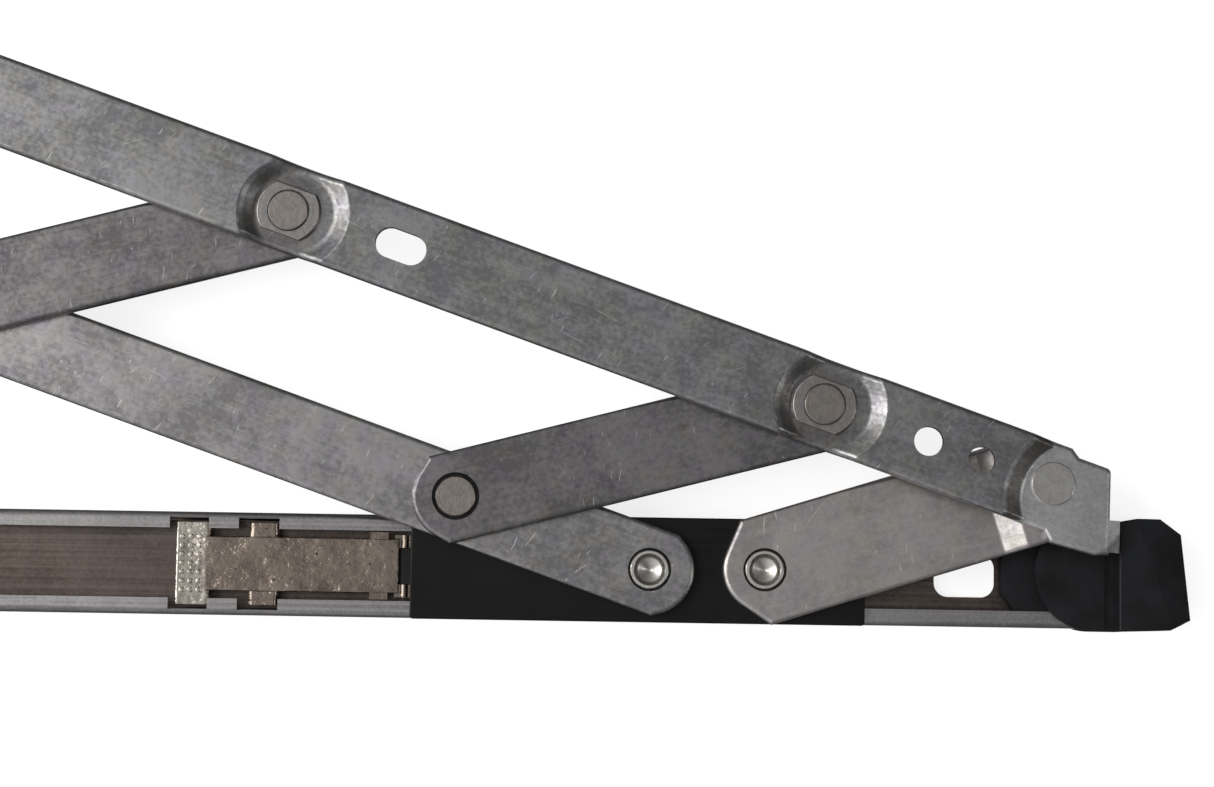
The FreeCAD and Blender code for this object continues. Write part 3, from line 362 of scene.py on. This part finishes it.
def black_nylon():
    """Moulded nylon: fine spark-eroded grain, faint flow clouds and a few scuffs."""
    nylon = Recipe("black_nylon", 0.0, Specular_IOR_Level=0.35)
    place = nylon.position()
    clouds = nylon.patches(place, 110.0, 3.0)
    grit = nylon.noise(place, 2600.0, 2.0)
    scuffs = nylon.spread(nylon.noise(nylon.position(25, stretch=(90, 1500, 400)), 1.0, 2.0), 0.68, 0.74)
    colour = nylon.blend(clouds, *NYLON)
    colour = nylon.blend(nylon.math("MULTIPLY", scuffs, 0.5), colour, NYLON_SCUFF)
    relief = nylon.bump(grit, 0.00002)
    relief = nylon.bump(clouds, 0.00006, relief)
    return nylon.finish(colour, nylon.spread(clouds, 0.0, 1.0, 0.4, 0.55), relief)


def black_coating():
    """Satin stove enamel on the carriage plate, faintly rubbed along the slide."""
    enamel = Recipe("black_coating", 0.0, Specular_IOR_Level=0.25)
    clouds = enamel.patches(enamel.position(), 80.0, 4.0)
    rub = enamel.patches(enamel.position(stretch=(22, 900, 100)), 1.0, 3.0)
    peel = enamel.noise(enamel.position(), 1800.0, 2.0)
    share = enamel.total((clouds, 0.6), (rub, 0.4))
    colour = enamel.blend(share, *ENAMEL)
    relief = enamel.bump(peel, 0.000015)
    return enamel.finish(colour, enamel.spread(share, 0.2, 0.8, 0.5, 0.38), relief)


def nickel_plate():
    """Nickel on spring steel: warm, rippled by stamping, flecked, and with a painted cream highlight on the
    press bar.
    """
    nickel = Recipe("nickel_plate", 1.0)
    place = nickel.position()
    clouds = nickel.patches(place, 130.0, 4.0, 0.6)
    ripples = nickel.patches(nickel.position(stretch=(150, 420, 200)), 1.0, 3.0, 0.55)
    specks = nickel.spread(nickel.noise(place, 1300.0, 2.0), 0.705, 0.765)
    pits = nickel.spread(nickel.noise(nickel.position(centre=(0.5, 0, 0)), 1100.0, 2.0), 0.66, 0.72)
    colour = nickel.blend(clouds, *NICKEL)
    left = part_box("release_clip")[0].x
    along = nickel.add("SeparateXYZ", [(0, place)]).outputs["X"]
    # painted highlight over the press bar, broken up by noise
    press_bar_sheen = nickel.spread(along, left + PRESS_BAR, left + PRESS_BAR + 0.0006, 1.0, 0.0)
    sheen_break = nickel.noise(nickel.position(stretch=(900, 500, 500)), 1.0, 3.0, 0.6)
    sheen_break = nickel.spread(sheen_break, 0.34, 0.66, 0.4, 1.0)
    colour = nickel.blend(nickel.math("MULTIPLY", press_bar_sheen, sheen_break), colour, NICKEL_PAINTED_SHEEN)
    colour = nickel.blend(pits, colour, NICKEL_PIT)
    colour = nickel.blend(specks, colour, NICKEL_SPECK)
    relief = nickel.bump(ripples, 0.00012)
    relief = nickel.bump(clouds, 0.0002, relief)
    relief = nickel.bump(specks, 0.00003, relief)
    return nickel.finish(colour, nickel.spread(clouds, 0.0, 1.0, 0.26, 0.15), relief)


def rivet_steel(name, centre, colour, hollow=False):
    """Formed rivet head: concentric tool marks, a warm tarnish, and painted shade down the wall of a
    hollow.
    """
    steel = Recipe(name, 1.0)
    place = steel.position(centre=centre)
    radius = steel.add("VectorMath", [(0, place)], operation="LENGTH").outputs["Value"]
    rings = steel.math("SINE", steel.math("MULTIPLY", radius, 9000.0))
    clouds = steel.patches(place, 420.0, 3.0, 0.6)
    speckle = steel.patches(place, 2200.0, 2.0)
    tone = steel.total((clouds, 0.6), (speckle, 0.25), (rings, 0.05))
    shown = steel.blend(tone, shade(colour, 0.75), shade(colour, 1.35))
    if hollow:
        # painted shade down the wall of the eyelet's hollow
        inside = steel.near(centre, EYELET_LIP, EYELET_LIP + 0.0002)
        wall = steel.math("SUBTRACT", inside, steel.near(centre, EYELET_FOOT, EYELET_FOOT + 0.0004))
        shown = steel.blend(steel.math("MULTIPLY", wall, 0.85), shown, SEAT_PAINTED_SHADE)
    relief = steel.bump(rings, 0.000002)
    relief = steel.bump(clouds, 0.00003, relief)
    return steel.finish(shown, steel.spread(clouds, 0.0, 1.0, 0.4, 0.28), relief)


def washer_plastic():
    acetal = Recipe("washer_plastic", 0.0)
    clouds = acetal.patches(acetal.position(), 300.0, 3.0)
    colour = acetal.blend(clouds, *ACETAL)
    return acetal.finish(colour, acetal.spread(clouds, 0.0, 1.0, 0.4, 0.55), acetal.bump(clouds, 0.00001))


def track_steel():
    """Roll-formed channel: rolling lines along it, and painted shade making the floor inside darker and
    warmer.
    """
    steel = Recipe("track_steel", 1.0)
    place = steel.position()
    height = steel.add("SeparateXYZ", [(0, place)]).outputs["Z"]
    clouds = steel.patches(place, 60.0, 4.0, 0.6)
    lines = steel.patches(steel.position(stretch=(12, 1500, 1500)), 1.0, 3.0, 0.6)
    speckle = steel.patches(place, 1300.0, 2.0)
    tone = steel.total((clouds, 0.3), (lines, 0.45), (speckle, 0.25))
    share = steel.spread(tone, 0.2, 0.8)
    outside = steel.blend(share, *TRACK_OUTSIDE)
    # painted shade on the floor inside the channel
    inside = steel.blend(share, *TRACK_INSIDE_PAINTED_SHADE)
    inner = steel.spread(height, TRACK_FLOOR, TRACK_FLOOR + 0.002, 1.0, 0.0)
    colour = steel.blend(inner, outside, inside)
    relief = steel.bump(lines, 0.000006)
    relief = steel.bump(clouds, 0.00006, relief)
    return steel.finish(colour, steel.spread(tone, 0.2, 0.8, 0.44, 0.3), relief)


def recess_painted_shade(rivet):
    """Painted shade on the floor of a dish round a rivet, darkest against the collar."""
    low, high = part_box(rivet)
    dirtiest = (low + high) / 2 - Vector((RECESS_OFFSET, 0, 0))
    return (dirtiest, RECESS_INNER, RECESS_OUTER, high.z, 0.6, RECESS_PAINTED_SHADE)


def seat_painted_shade(rivet, radius):
    """Painted shade, nearly black, in the gap between a rivet's head and the round seat it lies in."""
    low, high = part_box(rivet)
    return ((low + high) / 2, radius, radius + SEAT_EDGE, high.z, 0.95, SEAT_PAINTED_SHADE)


def tip_shade_and_tint():
    """Painted shade in the step down to the vent arm's tip, and the tip's face made paler."""
    low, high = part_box("vent_tip_rivet")
    rivet = (low + high) / 2
    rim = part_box("vent_arm")[1].z - STEP_RIM
    floor = rim - STEP_HEIGHT
    return [
        # painted shade in the step down to the tip
        (rivet, TIP_REACH, TIP_REACH + 0.001, rim, 0.75, RECESS_PAINTED_SHADE),
        # the tip's face made paler
        (rivet, TIP_REACH, TIP_REACH + 0.001, floor, 0.9, PALE_TIP_STEEL),
    ]


def dress_nodes():
    """Gives every CAD node its material."""
    nodes = frame["nodes"]
    vent_turn = -arm_direction("vent_arm", "vent_arm_pivot")
    long_turn = -arm_direction("long_arm", "long_arm_pivot")
    link_turn = -arm_direction("front_link_bar", "front_bar_pivot")
    short_turn = -arm_direction("short_arm", "short_arm_pivot")
    # painted shade in the vent arm's dishes and in the step to its tip, and a paler tip face
    painted_shade_and_tint = [recess_painted_shade(name) for name in ("vent_front_rivet", "vent_rear_rivet")]
    painted_shade_and_tint += tip_shade_and_tint()
    coat(nodes["vent_arm"], brushed_steel("vent_steel", vent_turn, VENT_STEEL, painted_shade_and_tint=painted_shade_and_tint))
    # painted shade in the gaps round the rivet heads in their seats
    seat = [seat_painted_shade("long_arm_rivet", LONG_ARM_SEAT)]
    coat(nodes["long_arm"], brushed_steel("long_arm_steel", long_turn, LONG_ARM_STEEL, painted_shade_and_tint=seat))
    seats = [seat_painted_shade(name, LINK_SEAT) for name in ("front_link_rivet", "rear_link_rivet")]
    link = brushed_steel("link_steel", link_turn, LINK_STEEL, painted_shade_and_tint=seats)
    coat(nodes["front_link_bar"], link)
    coat(nodes["rear_link_bar"], link)
    seat = [seat_painted_shade("short_arm_rivet", LONG_ARM_SEAT)]
    coat(nodes["short_arm"], brushed_steel("short_arm_steel", short_turn, SHORT_ARM_STEEL, 0.2, seat))
    coat(nodes["track"], track_steel())
    nylon = black_nylon()
    for name in ("end_cap", "end_stop", "carriage_shoe"):
        coat(nodes[name], nylon)
    coat(nodes["carriage_plate"], black_coating())
    coat(nodes["release_clip"], nickel_plate())
    plastic = washer_plastic()
    colours = {
        "vent_tip_rivet": TIP_RIVET_STEEL,
        # the eyelets' steel is brightened into a painted highlight
        "long_arm_rivet": EYELET_STEEL_AND_SHEEN,
        "short_arm_rivet": EYELET_STEEL_AND_SHEEN,
    }
    for name, node in nodes.items():
        if "washer" in name:
            coat(node, plastic)
        elif "rivet" in name or "collar" in name or "screw" in name:
            low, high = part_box(name)
            middle = (low + high) / 2
            eyelet = name.endswith("_arm_rivet")
            colour = colours.get(name, COLLAR_STEEL if "collar" in name else RIVET_STEEL)
            coat(node, rivet_steel(name + "_steel", (middle.x, middle.y, high.z), colour, eyelet))


make_camera()
make_world()
make_floor()
for panel in PANELS:
    make_light(*panel)
bpy.context.scene.view_settings.view_transform = "Standard"
dress_nodes()
